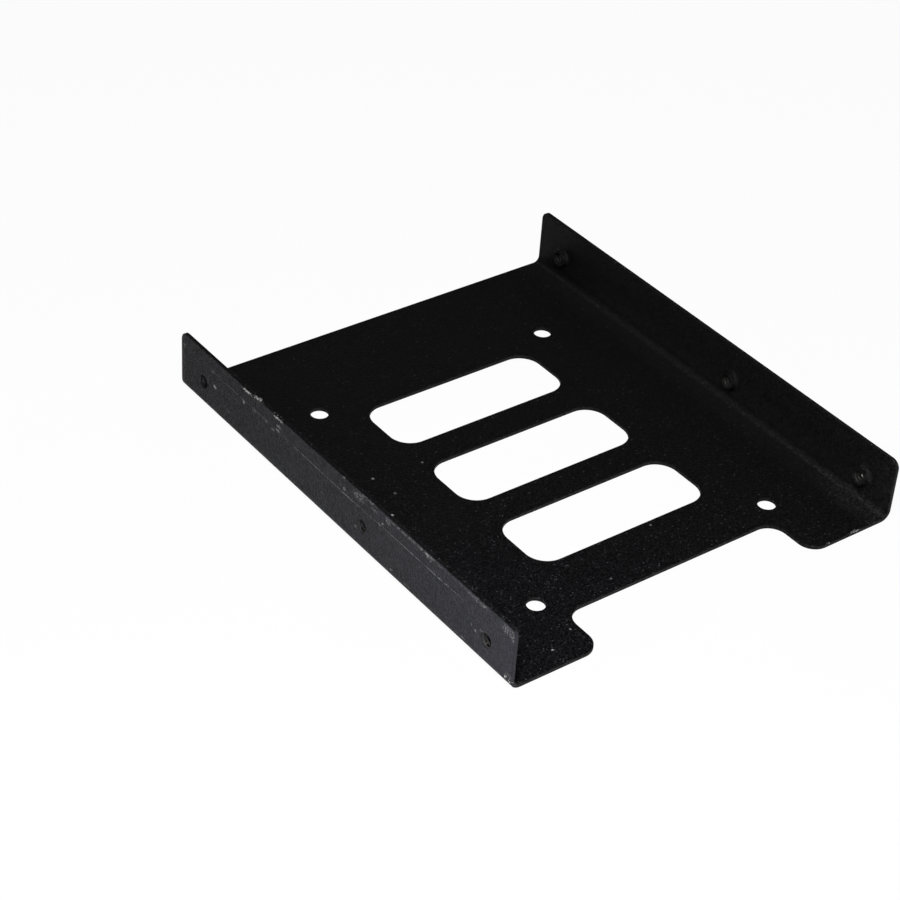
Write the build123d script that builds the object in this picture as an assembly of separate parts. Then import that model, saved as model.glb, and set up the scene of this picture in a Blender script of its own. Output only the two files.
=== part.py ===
from build123d import *
import os

# A bracket folded from one steel sheet. It lies on its flat base, with a flange
# turned up along each side. X runs across the bracket, Y from its front edge, which
# has the connector notch, to its back edge, and Z up. The origin is under its middle.
# All sizes are in millimetres.

# Sheet
sheet_thickness = 0.9
inside_bend_radius = 1.5
edge_easing = 0.1

# Base and flanges
bracket_width = 100.6
flange_height = 14.8
flange_corner_radius = 2.0

# Connector notch in the front edge, with a tab on each side
notch_width = 55.7
notch_depth = 11.9
notch_corner_radius = 4.0
tab_corner_radius = 4.0

# Slots through the base, in a row from front to back
slot_count = 3
slot_length = 45.5
slot_width = 15.95
slot_pitch = 23.85
slot_corner_radius = 4.9
slots_from_front = 57.65

# Holes through the base, for the screws that hold a drive from below
drive_hole_diameter = 4.0
drive_hole_spacing_across = 61.72
drive_hole_spacing_along = 76.6
drive_holes_from_front = 17.0

# Tapped holes in the flanges, each plunged inwards so that a collar carries its thread
side_hole_diameter = 3.0
side_hole_height = 6.6
front_side_hole_from_front = 8.3
front_to_middle_side_hole = 41.6
middle_to_back_side_hole = 60.0
back_side_hole_from_back = 9.0
side_hole_entry = 0.2
collar_wall = 0.4
collar_height = 1.6
collar_root_radius = 0.8

# Sizes that follow
outside_bend_radius = inside_bend_radius + sheet_thickness
back_side_hole_from_front = front_side_hole_from_front + front_to_middle_side_hole + middle_to_back_side_hole
bracket_length = back_side_hole_from_front + back_side_hole_from_back
front_edge = -bracket_length / 2
flange_outside = bracket_width / 2
flange_inside = flange_outside - sheet_thickness
notch_back = front_edge + notch_depth
tab_corner = min(tab_corner_radius, 0.45 * notch_depth)
notch_corner = min(notch_corner_radius, 0.45 * notch_depth)
slot_corner = min(slot_corner_radius, 0.45 * slot_width)
slots_middle = front_edge + slots_from_front
drive_holes_middle = front_edge + drive_holes_from_front + drive_hole_spacing_along / 2
front_side_hole = front_edge + front_side_hole_from_front
middle_side_hole = front_side_hole + front_to_middle_side_hole
back_side_hole = middle_side_hole + middle_to_back_side_hole
collar_radius = side_hole_diameter / 2 + collar_wall
collar_mouth = sheet_thickness + collar_height
collar_root = min(collar_root_radius, 0.7 * collar_height)
through_cut = 4 * sheet_thickness


def folded_sheet():
    """The sheet as it is folded: flange, bend, base, bend and flange in one section."""
    with BuildPart() as sheet:
        with BuildSketch(Plane.XZ):
            with BuildLine():
                outer = FilletPolyline(
                    (-flange_outside, flange_height),
                    (-flange_outside, 0),
                    (flange_outside, 0),
                    (flange_outside, flange_height),
                    radius=outside_bend_radius,
                )
                inner = FilletPolyline(
                    (-flange_inside, flange_height),
                    (-flange_inside, sheet_thickness),
                    (flange_inside, sheet_thickness),
                    (flange_inside, flange_height),
                    radius=inside_bend_radius,
                )
                Line(outer @ 0, inner @ 0)
                Line(outer @ 1, inner @ 1)
            make_face()
        extrude(amount=bracket_length / 2, both=True)
        flange_corners = sheet.edges().filter_by(Axis.X).group_by(Axis.Z)[-1]
        fillet(flange_corners, flange_corner_radius)
    return sheet.part


def upright_edges(part, y):
    """The upright edges at both sides of the notch, on the line across the bracket at y."""
    def at_notch_side(edge):
        middle = edge.center()
        return abs(abs(middle.X) - notch_width / 2) < 0.01 and abs(middle.Y - y) < 0.01

    return part.edges().filter_by(Axis.Z).filter_by(at_notch_side)


def with_notch(part):
    """Cuts the notch out of the front edge and rounds its corners and those of the tabs."""
    part -= Pos(0, front_edge, 0) * Box(notch_width, 2 * notch_depth, through_cut)
    part = fillet(upright_edges(part, notch_back), notch_corner)
    return fillet(upright_edges(part, front_edge), tab_corner)


def base_openings():
    """What is punched through the base: the row of slots and the four drive holes."""
    with BuildPart() as openings:
        with BuildSketch():
            with Locations((0, slots_middle)):
                with GridLocations(0, slot_pitch, 1, slot_count):
                    RectangleRounded(slot_length, slot_width, slot_corner)
            with Locations((0, drive_holes_middle)):
                with GridLocations(drive_hole_spacing_across, drive_hole_spacing_along, 2, 2):
                    Circle(drive_hole_diameter / 2)
        extrude(amount=through_cut, both=True)
    return openings.part


def with_eased_edges(part):
    """Takes the sharpness off both outlines of the sheet and off every cut through it."""
    def is_skin(face):
        return face.bounding_box().size.Y > bracket_length - flange_corner_radius

    skin_edges = part.faces().filter_by(is_skin).edges()
    outlines = skin_edges.filter_by(lambda edge: skin_edges.count(edge) == 1)
    return chamfer(outlines, edge_easing)


def plunged_collar():
    """A collar before its hole is made, along X from the middle of the flange's wall."""
    buried = sheet_thickness / 2
    root = (sheet_thickness, collar_radius + collar_root)
    with BuildPart() as collar:
        with BuildSketch():
            with BuildLine():
                Polyline((buried, 0), (buried, root[1]), root)
                foot = RadiusArc(root, (root[0] + collar_root, collar_radius), -collar_root)
                Polyline(
                    foot @ 1,
                    (collar_mouth - edge_easing, collar_radius),
                    (collar_mouth, collar_radius - edge_easing),
                    (collar_mouth, 0),
                    (buried, 0),
                )
            make_face()
        revolve(axis=Axis.X)
    return collar.part


def plunged_hole():
    """What is cut for one side hole: a bore that widens at its entry and at the collar's mouth."""
    bore = side_hole_diameter / 2
    with BuildPart() as hole:
        with BuildSketch():
            with BuildLine():
                Polyline(
                    (-sheet_thickness, 0),
                    (-sheet_thickness, bore + side_hole_entry),
                    (0, bore + side_hole_entry),
                    (side_hole_entry, bore),
                    (collar_mouth - edge_easing, bore),
                    (collar_mouth, bore + edge_easing),
                    (collar_mouth + sheet_thickness, bore + edge_easing),
                    (collar_mouth + sheet_thickness, 0),
                    close=True,
                )
            make_face()
        revolve(axis=Axis.X)
    return hole.part


def side_hole_places():
    """Where the side holes enter: a location on each flange's outer face, X pointing inwards."""
    places = []
    for y in (front_side_hole, middle_side_hole, back_side_hole):
        places.append(Location((-flange_outside, y, side_hole_height)))
        places.append(Location((flange_outside, y, side_hole_height), (0, 0, 180)))
    return places


def with_side_holes(part):
    """Raises the collars on the flanges' inner faces and opens the hole through each one."""
    for place in side_hole_places():
        part += place * plunged_collar()
        part -= place * plunged_hole()
    return part


os.makedirs("parts", exist_ok=True)
bracket = with_notch(folded_sheet()) - base_openings()
bracket = with_side_holes(with_eased_edges(bracket))
export_step(bracket, "parts/bracket.step")
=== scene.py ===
# A drive bay adapter bracket on a pale table: one folded steel sheet with a fine black
# powder coat and six tapped side holes. Metres, in the bracket's own frame: X runs
# across it, Y from its front edge with the connector notch to its back edge, Z up.
import math

import bpy
from mathutils import Matrix, Quaternion, Vector


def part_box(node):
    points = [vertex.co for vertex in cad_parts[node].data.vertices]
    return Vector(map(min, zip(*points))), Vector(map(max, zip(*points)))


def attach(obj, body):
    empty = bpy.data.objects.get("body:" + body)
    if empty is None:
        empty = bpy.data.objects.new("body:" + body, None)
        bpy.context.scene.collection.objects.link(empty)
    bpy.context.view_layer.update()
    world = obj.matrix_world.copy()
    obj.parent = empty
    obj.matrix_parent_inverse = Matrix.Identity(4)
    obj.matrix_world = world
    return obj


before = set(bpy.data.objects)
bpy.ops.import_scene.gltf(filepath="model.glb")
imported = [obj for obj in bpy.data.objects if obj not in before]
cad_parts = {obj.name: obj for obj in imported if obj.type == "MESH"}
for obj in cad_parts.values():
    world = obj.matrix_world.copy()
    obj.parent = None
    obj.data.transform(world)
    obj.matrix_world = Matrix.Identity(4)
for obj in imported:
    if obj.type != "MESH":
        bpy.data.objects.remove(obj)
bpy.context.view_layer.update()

# The bracket. Mild steel sheet, punched, folded and plunged, then powder coated in a
# fine-textured black. The coat is rubbed along the left flange, chipped at its edges
# down to the steel, and there is dust in the right fold. Light and shade are painted into
# its colour too: glints, sheen, a highlight and shade at the right fold, and darker threads.


class Wire:
    """An output of a shader node. Arithmetic on it adds the Math nodes."""

    def __init__(self, finish, socket):
        self.finish = finish
        self.socket = socket

    def output(self, name):
        """Another output of the same node."""
        return Wire(self.finish, self.socket.node.outputs[name])

    def maths(self, operation, first, second=0.0):
        return self.finish.node("Math", {"operation": operation}, {0: first, 1: second})

    def __add__(self, other):
        return self.maths("ADD", self, other)

    def __radd__(self, other):
        return self.maths("ADD", other, self)

    def __sub__(self, other):
        return self.maths("SUBTRACT", self, other)

    def __rsub__(self, other):
        return self.maths("SUBTRACT", other, self)

    def __mul__(self, other):
        return self.maths("MULTIPLY", self, other)

    def __rmul__(self, other):
        return self.maths("MULTIPLY", other, self)

    def __or__(self, other):
        return self.maths("MAXIMUM", self, other)

    def __abs__(self):
        return self.maths("ABSOLUTE", self)


class Finish:
    """A surface finish: a material, or the world, with its nodes."""

    def __init__(self, name, owner=None):
        self.material = owner or bpy.data.materials.new(name)
        self.material.use_nodes = True
        self.tree = self.material.node_tree
        self.tree.nodes.clear()

    def node(self, kind, settings, sockets, output=0):
        """Adds a node: its settings first, then the values or wires of its sockets."""
        node = self.tree.nodes.new("ShaderNode" + kind)
        for name, value in settings.items():
            if name == "stops":
                ramp = node.color_ramp.elements
                while len(ramp) < len(value):
                    ramp.new(1.0)
                for stop, (position, colour) in zip(ramp, value):
                    stop.position = position
                    stop.color = (*colour, 1.0)
            else:
                setattr(node, name, value)
        for name, value in sockets.items():
            socket = node.inputs[name]
            if isinstance(value, Wire):
                self.tree.links.new(value.socket, socket)
            elif socket.type == "RGBA":
                socket.default_value = (*value, 1.0)
            else:
                socket.default_value = value
        return Wire(self, node.outputs[output]) if node.outputs else node

    def fade(self, value, start, end):
        """0 at start, 1 at end, with a soft step between them."""
        return self.node(
            "MapRange",
            {"interpolation_type": "SMOOTHSTEP"},
            {"Value": value, "From Min": start, "From Max": end},
        )

    def blend(self, mask, under, over):
        """The colour over laid on the colour under where the mask is 1."""
        return self.node("Mix", {"data_type": "RGBA"}, {0: mask, 6: under, 7: over}, 2)

    def noise(self, place, scale, detail=2.0, roughness=0.5):
        """Noise over a place, from 0 to 1 and mostly near a half."""
        return self.node(
            "TexNoise",
            {},
            {"Vector": place, "Scale": scale, "Detail": detail, "Roughness": roughness},
        )


low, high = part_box("bracket")
left_face = low[0] * 1000
base_top = 0.9
right_face = high[0]

coat = Finish("powder_coat")
place = coat.node("TexCoord", {}, {}, "Object")
mm = coat.node("Mapping", {}, {"Vector": place, "Scale": (1000, 1000, 1000)})
across = coat.node("SeparateXYZ", {}, {"Vector": mm})
along = across.output("Y")
up = across.output("Z")
normal = coat.node("NewGeometry", {}, {}, "Normal")
facing_right = coat.node("SeparateXYZ", {}, {"Vector": normal})
facing_back = facing_right.output("Y")
facing_left = coat.fade(facing_right, -0.55, -0.85)

# The powder's grain, pinhead bumps about half a millimetre apart, over slow waves, and the
# noises that break up the marks on it
grain = coat.noise(mm, 2.1, 3.0, 0.7)
waves = coat.noise(mm, 0.12, 2.0)
mottle = coat.noise(mm, 0.9, 3.0, 0.6)
bare = coat.noise(mm, 1.9, 4.0, 0.7)
speckle = coat.noise(mm, 3.6, 2.0, 0.6)
blotches = coat.fade(grain * 0.4 + mottle * 0.25 + speckle * 0.35, 0.45, 0.575)

# Painted glints: flecks where a grain's flat side would catch the light, painted brighter and
# closer together towards the front left, where the coat is painted as more strongly lit
cells = coat.node("TexVoronoi", {}, {"Vector": mm, "Scale": 2.4}, "Distance")
lot = coat.node("SeparateColor", {}, {"Color": cells.output("Color")})
# Painted light: 0 at the back right, rising to 1 at the front left
painted_front_light = coat.fade(along + across * 0.6, 50.0, -78.0)
painted_glint_density = painted_front_light * painted_front_light
painted_glint = coat.fade(lot, 0.955 - painted_glint_density * 0.13, 1.0) * coat.fade(cells, 0.45, 0.15)

# Marks have ragged outlines: their places are read from a jittered position
jitter = coat.noise(mm, 1.6, 3.0, 0.65).output("Color")
jitter = coat.node("VectorMath", {"operation": "SUBTRACT"}, {0: jitter, 1: (0.5, 0.5, 0.5)})
jitter = coat.node("VectorMath", {"operation": "SCALE"}, {0: jitter, "Scale": 1.8})
ragged = coat.node("VectorMath", {"operation": "ADD"}, {0: mm, 1: jitter})


def patch(middle, reach, where=ragged):
    """A soft-edged patch round a point, as wide each way as its reach."""
    away = coat.node("VectorMath", {"operation": "SUBTRACT"}, {0: where, 1: middle})
    away = coat.node("VectorMath", {"operation": "DIVIDE"}, {0: away, 1: reach})
    away = coat.node("VectorMath", {"operation": "LENGTH"}, {0: away}, "Value")
    return coat.fade(away, 1.0, 0.3)


def face_spots(spots):
    """Spots on the left flange's outer face: along, up, half length, half height, strength."""
    found = 0.0
    for y, z, length, height, strength in spots:
        found = patch((left_face, y, z), (1.2, length, height)) * strength | found
    return found


def base_spots(spots):
    """Round specks on the base: across, along, reach, strength."""
    found = 0.0
    for x, y, reach, strength in spots:
        found = patch((x, y, base_top), (reach, reach, 0.8), mm) * strength | found
    return found


# Wear on the left flange's outer face, which takes in the outside of its bend
on_left_face = facing_left * coat.fade(across, -46.0, -48.0)

# A long broken scratch: points along it, from the back end to the front, with how high it
# runs and how deep it is there. A colour ramp holds the height in red and the depth in green.
scratch_back = 16.0
scratch_front = -44.0
scratch_lowest = 10.0
scratch_rise = 3.0
scratch_points = [
    (14.0, 11.0, 0.3), (8.0, 11.0, 0.6), (3.7, 10.9, 0.5), (0.0, 10.9, 0.45),
    (-2.4, 10.85, 0.35), (-3.0, 10.8, 1.0), (-6.0, 10.8, 0.95), (-6.8, 10.85, 0.3),
    (-9.3, 10.9, 0.2), (-13.0, 10.95, 0.15), (-16.0, 11.1, 0.3), (-20.5, 11.1, 0.45),
    (-24.3, 11.1, 0.8), (-26.8, 11.1, 0.9), (-29.0, 11.1, 0.5), (-32.0, 11.15, 0.45),
    (-35.5, 11.15, 0.85), (-38.2, 11.2, 1.0), (-39.0, 11.2, 0.15), (-41.5, 11.25, 0.4),
]
scratch_length = scratch_back - scratch_front
stops = []
for y, z, depth in scratch_points:
    rise = (z - scratch_lowest) / scratch_rise
    stops.append(((scratch_back - y) / scratch_length, (rise, depth, 0.0)))
first_rise = stops[0][1][0]
last_rise = stops[-1][1][0]
stops = [(0.0, (first_rise, 0.0, 0.0))] + stops + [(1.0, (last_rise, 0.0, 0.0))]
run = coat.node(
    "MapRange", {}, {"Value": along, "From Min": scratch_back, "From Max": scratch_front}
)
course = coat.node("ValToRGB", {"stops": stops}, {"Fac": run})
course = coat.node("SeparateColor", {}, {"Color": course})
wander = coat.noise(mm, 0.8, 2.0)
off_scratch = abs(up - (course * scratch_rise + scratch_lowest) + (wander - 0.5) * 0.2)
scratch = coat.fade(off_scratch, 0.17, 0.04) * course.output("Green")
scratch = scratch * coat.fade(bare, 0.40, 0.52) * coat.fade(speckle, 0.40, 0.54)

# A hairline behind it, and a rubbed line just below the top edge, both broken up by streaks
streaks = coat.node("Mapping", {}, {"Vector": place, "Scale": (1000, 450, 2600)})
streak = coat.noise(streaks, 1.4, 3.0, 0.6)
hairline = coat.fade(abs(up - 11.3 - along * 0.002), 0.22, 0.06)
hairline = hairline * coat.fade(along, 48.0, 40.0) * coat.fade(along, 12.0, 18.0)
hairline = hairline * coat.fade(streak, 0.42, 0.6) * coat.fade(bare, 0.4, 0.55)
rubbed_line = coat.fade(abs(up - 14.2), 0.45, 0.1)
rubbed_line = rubbed_line * coat.fade(along, -15.0, -20.0) * coat.fade(along, -51.0, -46.0)
rubbed_line = rubbed_line * coat.fade(bare, 0.46, 0.58) * coat.fade(streak, 0.36, 0.5)
rubbed_line = rubbed_line * (1.0 - coat.fade(along, -34.0, -37.0) * 0.65)

# Single nicks, then rubbed places, which the noises break up
nicks = face_spots([
    (34.3, 10.9, 0.6, 0.6, 0.6), (45.7, 8.0, 0.65, 0.65, 0.8), (20.9, 12.6, 1.2, 0.5, 0.4),
    (21.2, 11.4, 1.2, 0.35, 0.5), (23.0, 10.6, 0.7, 0.4, 0.4), (-3.2, 12.0, 0.5, 0.6, 0.5),
    (-16.7, 11.8, 0.4, 0.4, 0.7), (-31.3, 14.05, 0.8, 0.5, 1.0), (-47.8, 6.6, 0.45, 0.45, 0.6),
    (-46.4, 7.3, 0.35, 0.35, 0.5), (-20.2, 2.8, 0.5, 0.4, 0.4), (-50.0, 14.1, 0.8, 0.35, 0.5),
    (-44.1, 2.3, 0.7, 0.35, 0.6), (-9.5, 14.4, 0.5, 0.4, 0.4), (-15.7, 11.1, 0.4, 0.3, 0.4),
    (-7.6, 5.4, 0.8, 0.35, 0.3), (-49.6, 7.9, 0.7, 0.3, 0.2), (-2.9, 14.7, 0.5, 0.3, 0.5),
])
worn = face_spots([
    (46.4, 11.6, 1.0, 0.5, 0.7), (30.3, 11.1, 1.1, 0.8, 0.7), (25.9, 11.1, 1.4, 0.4, 0.6),
    (18.0, 11.0, 0.8, 0.35, 0.6), (58.3, 11.8, 1.2, 0.5, 0.7), (4.6, 5.8, 0.5, 0.5, 0.7),
    (40.5, 4.7, 1.6, 0.5, 0.3), (-8.3, 13.3, 2.4, 1.4, 0.9), (-12.0, 14.6, 3.2, 0.6, 1.1),
    (-14.1, 13.3, 1.8, 0.4, 1.0), (-18.4, 13.4, 1.4, 0.8, 0.8), (-32.4, 13.5, 0.9, 0.9, 0.7),
    (-47.5, 14.0, 4.5, 0.7, 0.8), (-57.4, 13.4, 2.6, 1.4, 1.2), (-58.9, 12.6, 0.8, 1.2, 1.1),
    (-25.5, 2.5, 1.4, 0.5, 0.5), (-58.4, 3.2, 1.5, 0.8, 0.7),
]) * coat.fade(bare, 0.4, 0.52) * coat.fade(speckle, 0.48, 0.58)
scuffs = (scratch | hairline * 0.25 | rubbed_line * 0.5 | nicks | worn * 0.8) * on_left_face

# Chips down to the steel, each a place and its reach: along the left flange's top edge, at
# its front fold and on the right tab
chips = (
    patch((-50.1, 33.0, 14.3), (0.7, 3.2, 0.55)) * 0.9
    | patch((-50.1, 29.2, 14.8), (0.9, 2.6, 0.55))
    | patch((-50.1, 21.3, 14.5), (0.7, 3.2, 0.5)) * 0.9
    | patch((-50.1, -57.6, 2.6), (1.2, 0.8, 0.5)) * 0.85
    | patch((-49.9, -58.8, 2.2), (1.2, 0.9, 0.6))
    | patch((40.2, -59.4, base_top), (2.6, 0.5, 0.35))
    | patch((32.6, -59.4, base_top), (0.8, 0.4, 0.35)) * 0.85
)
steel = coat.fade(chips + (bare - 0.5) * 2.0 + (speckle - 0.5) * 3.0, 0.66, 0.85)
steel = steel * coat.fade(chips, 0.05, 0.3)
specks = base_spots([
    (-36.7, -55.1, 0.35, 1.0), (-29.9, -52.1, 0.35, 0.7), (-13.1, -44.2, 0.35, 0.5),
    (5.1, -35.0, 0.35, 0.5), (-38.4, -3.9, 0.45, 1.0), (-34.6, 8.5, 0.45, 0.6),
    (-33.6, 1.9, 0.45, 0.4), (-22.4, 7.7, 0.4, 0.4),
])

# Painted light and dust in the right fold: a faint broad band painted lighter over the fold's
# shade, a broken painted highlight along the fold line that is brighter towards the front, dust at
# the front of the fold and in the front corner, and a thin veil of dust on the flange's inner face
endless = 400.0
towards_front = coat.fade(along, -12.0, -50.0)
fold = patch((49.0, 0.0, 1.36), (7.5, endless, 7.5), mm) * 0.07
fold_highlight = patch((48.65, 0.0, 1.0), (0.6, endless, 0.5), mm) * coat.fade(mottle, 0.47, 0.6)
front_dust = patch((47.2, -52.0, 1.0), (5.0, 16.0, 3.5), mm) * coat.fade(grain, 0.42, 0.66)
corner_dust = patch((49.4, -57.0, 4.0), (3.0, 16.0, 10.0), mm) * coat.fade(mottle, 0.35, 0.65)
on_inner_face = facing_left * coat.fade(across, 46.0, 48.0)
inner_dust_veil = blotches * on_inner_face * coat.fade(along, 45.0, 20.0)
dust_and_fold_light = fold + fold_highlight * (0.09 + towards_front * 0.30)
dust_and_fold_light = dust_and_fold_light | front_dust * 0.62 | corner_dust * 0.16
dust_and_fold_light = dust_and_fold_light + inner_dust_veil * 0.06

# Painted shade on the right flange: just above its fold, and towards its back end on its inner face
painted_shade_above_fold = patch((49.3, 0.0, 2.1), (1.1, endless, 1.3), mm)
painted_shade_back = on_inner_face * coat.fade(along, 30.0, 58.0)

# Painted sheen on the cut edges that face the front: the light they catch is painted as a grey
# paler than the sheet, more so towards the front left and less so on the right tab.
# The left flange's front end gets a blue-grey as bright as the painted sheen on its face.
painted_edge_sheen = coat.fade(facing_back, -0.5, -0.95)
painted_flange_end = painted_edge_sheen * coat.fade(across, -48.6, -49.2)
painted_edge_sheen = painted_edge_sheen * (0.6 + painted_front_light * 0.4) * (0.4 + coat.fade(mottle, 0.35, 0.6) * 0.6)
painted_edge_sheen = painted_edge_sheen * (1.0 - coat.fade(across, 24.0, 32.0) * 0.5)

# Painted sheen on the left flange's outer face: the light it reflects is painted as a blotchy
# blue-grey, brightest near its front corner, and a little rust at its back end
painted_sheen_rise = coat.fade(along, 60.0, -110.0) * 0.56 + coat.fade(along, -40.0, -58.0) * 0.12
painted_sheen = (blotches * 0.52 + painted_sheen_rise - 0.03) * on_left_face
rusty = coat.fade(along, 57.2, 59.0) * coat.fade(up, 12.5, 9.0) * on_left_face

# The coat's colour: the powder's hollows and pinheads, painted with more contrast towards the front
# left as painted light, its painted glints, and what lies over it
painted_sheen_grey = (0.040, 0.040, 0.050)
rust_brown = (0.042, 0.030, 0.026)
dust_and_fold_light_grey = (0.034, 0.031, 0.030)
shade_black = (0.001, 0.001, 0.001)
painted_shade_back_black = (0.0008, 0.0008, 0.0008)
painted_edge_sheen_grey = (0.020, 0.020, 0.019)
painted_flange_end_grey = (0.034, 0.034, 0.042)
scuff_grey = (0.30, 0.30, 0.31)
steel_white = (0.62, 0.61, 0.60)
hollows = coat.blend(painted_front_light, (0.0038, 0.0038, 0.0039), (0.0009, 0.0009, 0.0011))
pinheads = coat.blend(painted_glint_density, (0.0078, 0.0078, 0.0080), (0.0120, 0.0120, 0.0137))
painted_glint_colour = coat.blend(painted_glint_density, (0.065, 0.065, 0.07), (0.10, 0.10, 0.111))
colour = coat.blend(coat.fade(grain, 0.45, 0.59), hollows, pinheads)
colour = coat.blend(painted_glint, colour, painted_glint_colour)
colour = coat.blend(painted_sheen, colour, painted_sheen_grey)
colour = coat.blend(rusty * 0.5, colour, rust_brown)
colour = coat.blend(dust_and_fold_light, colour, dust_and_fold_light_grey)
colour = coat.blend(painted_shade_above_fold * 0.17, colour, shade_black)
colour = coat.blend(painted_shade_back * 0.8, colour, painted_shade_back_black)
colour = coat.blend(painted_edge_sheen, colour, painted_edge_sheen_grey)
colour = coat.blend(painted_flange_end, colour, painted_flange_end_grey)
colour = coat.blend(scuffs | specks, colour, scuff_grey)
colour = coat.blend(steel, colour, steel_white)
rough = 0.42 + grain * 0.12 + waves * 0.06 - steel * 0.12
relief = coat.node(
    "Bump", {}, {"Height": grain - steel * 0.6 - scratch * 0.3, "Distance": 0.0002, "Strength": 1.0}
)
shader = coat.node(
    "BsdfPrincipled",
    {},
    {
        "Base Color": colour,
        "Roughness": rough,
        "Metallic": steel * 0.9,
        "IOR": 1.4,
        "Specular IOR Level": 0.10,
        "Normal": relief,
    },
)
coat.node("OutputMaterial", {}, {"Surface": shader})
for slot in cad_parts["bracket"].material_slots:
    slot.material = coat.material

# The threads of the six side holes, 6-32, cut by a tap through the plunged collars after
# coating, so bare steel with some oil and dirt. Towards the back and in the right flange they
# are painted darker, as painted shade. Each is one ridge that winds from the entry to the collar's
# mouth.
pitch = 0.000794
bore = 0.0015
crest = 0.00128
crest_rounding = 0.00003
thread_start = 0.00004
turns = 3.02
steps = 80
start_angle = math.radians(57)
runout_rings = 7
runout_size = 0.15
runout_sink = 0.14
hole_height = 0.0066
hole_places = (-0.05115, -0.00955, 0.05045)

thread_steel = Finish("tapped_steel")
place = thread_steel.node("TexCoord", {}, {}, "Object")
oil = thread_steel.noise(place, 1600.0, 3.0, 0.6)
across = thread_steel.node("SeparateXYZ", {}, {"Vector": place})
# Painted shade: the threads are painted darker towards the back, and darker still in the right
# flange
painted_thread_light = thread_steel.fade(across.output("Y"), 0.075, -0.045)
painted_thread_light = painted_thread_light * (0.4 + thread_steel.fade(across, 0.01, -0.01) * 0.6)
colour = thread_steel.blend(oil * painted_thread_light, (0.0036, 0.0035, 0.0033), (0.105, 0.100, 0.093))
shader = thread_steel.node(
    "BsdfPrincipled",
    {},
    {
        "Base Color": colour,
        "Roughness": 0.5 + oil * 0.25,
        "Metallic": 0.6,
        "Specular IOR Level": 0.15,
    },
)
thread_steel.node("OutputMaterial", {}, {"Surface": shader})

bpy.ops.object.select_all(action="DESELECT")
bpy.ops.mesh.primitive_circle_add(vertices=4, radius=bore - crest, rotation=(math.pi / 2, 0, 0))
thread = bpy.context.object
bpy.ops.object.transform_apply(rotation=True)
bpy.ops.object.mode_set(mode="EDIT")
bpy.ops.mesh.select_all(action="SELECT")
bpy.ops.transform.translate(value=(thread_start, 0, bore))
bpy.ops.mesh.bevel(offset=crest_rounding, segments=2, affect="VERTICES")
bpy.ops.object.mode_set(mode="OBJECT")
section_size = len(thread.data.vertices)
wind = thread.modifiers.new("wind", "SCREW")
wind.axis = "X"
wind.angle = turns * 2 * math.pi
wind.screw_offset = turns * pitch
wind.steps = wind.render_steps = steps
wind.use_smooth_shade = False
bpy.ops.object.modifier_apply(modifier=wind.name)

# The ridge runs out at both ends: its section gets smaller and sinks into the wall
rings = len(thread.data.vertices) // section_size
for ring in range(rings):
    section = thread.data.vertices[ring * section_size:(ring + 1) * section_size]
    middle = sum((vertex.co for vertex in section), Vector()) / section_size
    from_end = min(ring, rings - 1 - ring) / runout_rings
    full = min(1.0, runout_size + (1.0 - runout_size) * from_end)
    outward = Vector((0.0, middle.y, middle.z)) * runout_sink * (1.0 - full)
    for vertex in section:
        vertex.co = middle + outward + (vertex.co - middle) * full
thread.data.transform(Matrix.Rotation(start_angle, 4, "X"))
bpy.ops.object.mode_set(mode="EDIT")
bpy.ops.mesh.select_all(action="SELECT")
bpy.ops.mesh.fill_holes(sides=0)
bpy.ops.mesh.select_all(action="SELECT")
bpy.ops.mesh.normals_make_consistent(inside=False)
bpy.ops.object.mode_set(mode="OBJECT")
bpy.ops.object.shade_smooth_by_angle(angle=math.radians(40))
thread.data.materials.append(thread_steel.material)

sides = {"left": (-1, 0.0), "right": (1, math.pi)}
for side, (sign, turn) in sides.items():
    for end, y in zip(("front", "middle", "back"), hole_places):
        cut = thread.copy()
        cut.data = thread.data.copy()
        cut.name = f"thread_{side}_{end}"
        bpy.context.collection.objects.link(cut)
        entry = Matrix.Translation((sign * right_face, y, hole_height))
        cut.data.transform(entry @ Matrix.Rotation(turn, 4, "Z"))
        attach(cut, "root")
bpy.data.objects.remove(thread)

# The table under it: white, matt, level with the bracket's underside. It fills the
# view, shows itself as white to the camera and in gloss, and keeps a little shadow.
# From beneath it is clear, so that the bracket's underside can be looked at.
table_size = 12.0
table_gap = 0.00002
shown_white = 0.94
mirrored_white = 0.12

table_white = Finish("table_white")
seen = table_white.node("LightPath", {}, {}, "Is Camera Ray")
mirrored = seen.output("Is Glossy Ray") | seen.output("Is Transmission Ray")
matt = table_white.node("BsdfDiffuse", {}, {"Color": (0.82, 0.82, 0.82)})
white = table_white.node("Emission", {}, {"Color": (1.0, 1.0, 1.0), "Strength": 1.0})
share = seen * shown_white + mirrored * mirrored_white
shader = table_white.node("MixShader", {}, {0: share, 1: matt, 2: white})
beneath = table_white.node("NewGeometry", {}, {}, "Backfacing")
clear = table_white.node("BsdfTransparent", {}, {})
shader = table_white.node("MixShader", {}, {0: beneath, 1: shader, 2: clear})
table_white.node("OutputMaterial", {}, {"Surface": shader})

bpy.ops.object.select_all(action="DESELECT")
bpy.ops.mesh.primitive_plane_add(size=table_size, location=(0, 0, -table_gap))
table = bpy.context.object
table.name = "table"
table.data.materials.append(table_white.material)

# The studio: a soft lamp over the camera's shoulder, weaker ones to the right and at the
# left behind, and a low one that reaches the right flange's outer face. Its walls are pale
# near the table's level and dark above, and plain white to the camera and below that level.


def direction(azimuth, elevation):
    """Which way a lamp or the camera is from the bracket, by degrees round it and up."""
    turn, lift = math.radians(azimuth), math.radians(elevation)
    return Vector(
        (math.sin(turn) * math.cos(lift), -math.cos(turn) * math.cos(lift), math.sin(lift))
    )


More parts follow.
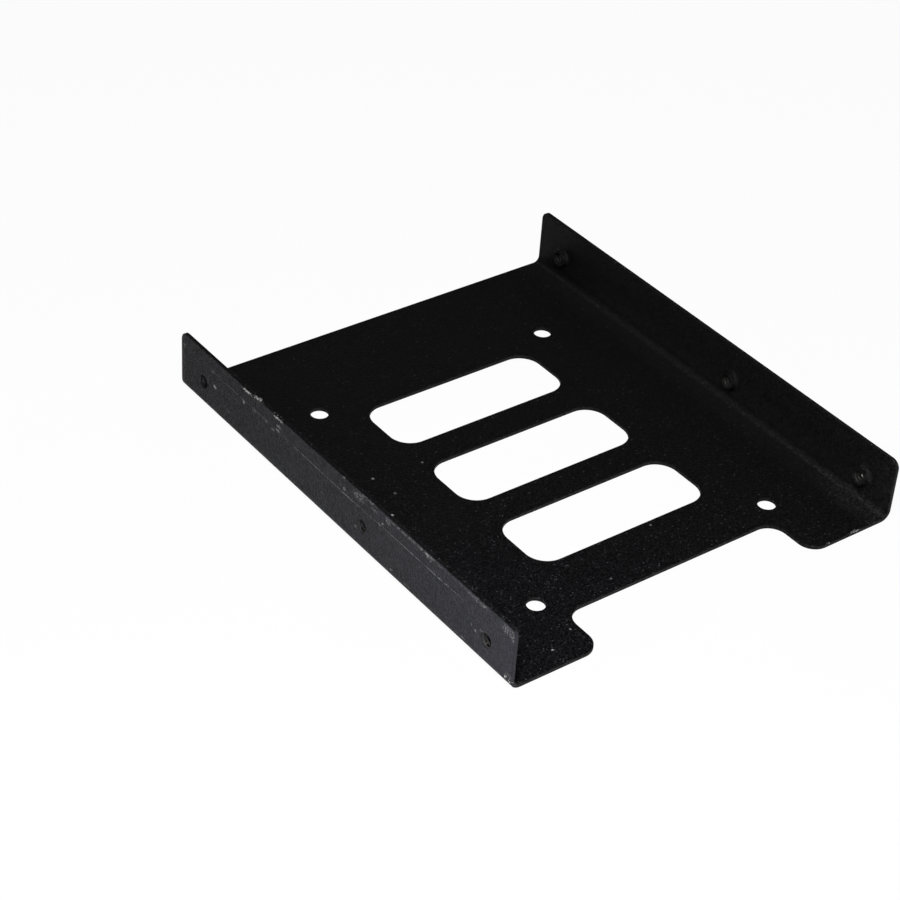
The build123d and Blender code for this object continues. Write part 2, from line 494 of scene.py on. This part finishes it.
def softbox(name, azimuth, elevation, distance, size, watts):
    """A round soft lamp that faces the bracket's middle and is hidden from the camera."""
    lamp = bpy.data.lights.new(name, "AREA")
    lamp.shape = "DISK"
    lamp.size = size
    lamp.energy = watts
    stand = bpy.data.objects.new(name, lamp)
    bpy.context.collection.objects.link(stand)
    away = direction(azimuth, elevation)
    stand.location = away * distance
    stand.visible_camera = False
    stand.rotation_euler = (-away).to_track_quat("-Z", "Y").to_euler()


softbox("key_lamp", azimuth=-45, elevation=50, distance=0.48, size=0.16, watts=2.5)
softbox("right_lamp", azimuth=75, elevation=40, distance=0.9, size=0.35, watts=0.5)
softbox("left_lamp", azimuth=-120, elevation=35, distance=0.9, size=0.35, watts=0.6)
softbox("low_right_lamp", azimuth=90, elevation=4, distance=1.2, size=0.12, watts=11.0)

studio = Finish("studio", bpy.data.worlds.new("studio"))
toward = studio.node("TexCoord", {}, {}, "Generated")
height = studio.node("SeparateXYZ", {}, {"Vector": toward}, "Z")
wall = studio.node(
    "ValToRGB",
    {"stops": [(0.0, (0.5, 0.5, 0.5)), (0.02, (0.3, 0.3, 0.3)), (0.08, (0.02, 0.02, 0.02))]},
    {"Fac": height},
)
walls = studio.node("Background", {}, {"Color": wall, "Strength": 1.0})
plain = studio.node("Background", {}, {"Color": (1.0, 1.0, 1.0), "Strength": 1.0})
seen = studio.node("LightPath", {}, {}, "Is Camera Ray")
below = studio.fade(height, -0.01, -0.05)
sky = studio.node("MixShader", {}, {0: seen | below, 1: walls, 2: plain})
studio.node("OutputWorld", {}, {"Surface": sky})
bpy.context.scene.world = studio.material

# The camera: half a metre off, to the front left, 36 degrees up and a little rolled
aim = Vector((-0.014086, 0.008964, 0.00018))
back = direction(-38.786, 35.907)
camera_distance = 0.518194
roll = math.radians(4.157)
lens = bpy.data.cameras.new("camera")
lens.sensor_width = 36.0
lens.lens = 96.66
lens.clip_start = 0.01
camera = bpy.data.objects.new("camera", lens)
bpy.context.collection.objects.link(camera)
camera.location = aim + back * camera_distance
camera.rotation_mode = "QUATERNION"
camera.rotation_quaternion = (-back).to_track_quat("-Z", "Y") @ Quaternion((0, 0, 1), roll)
bpy.context.scene.camera = camera
bpy.context.scene.view_settings.view_transform = "Standard"
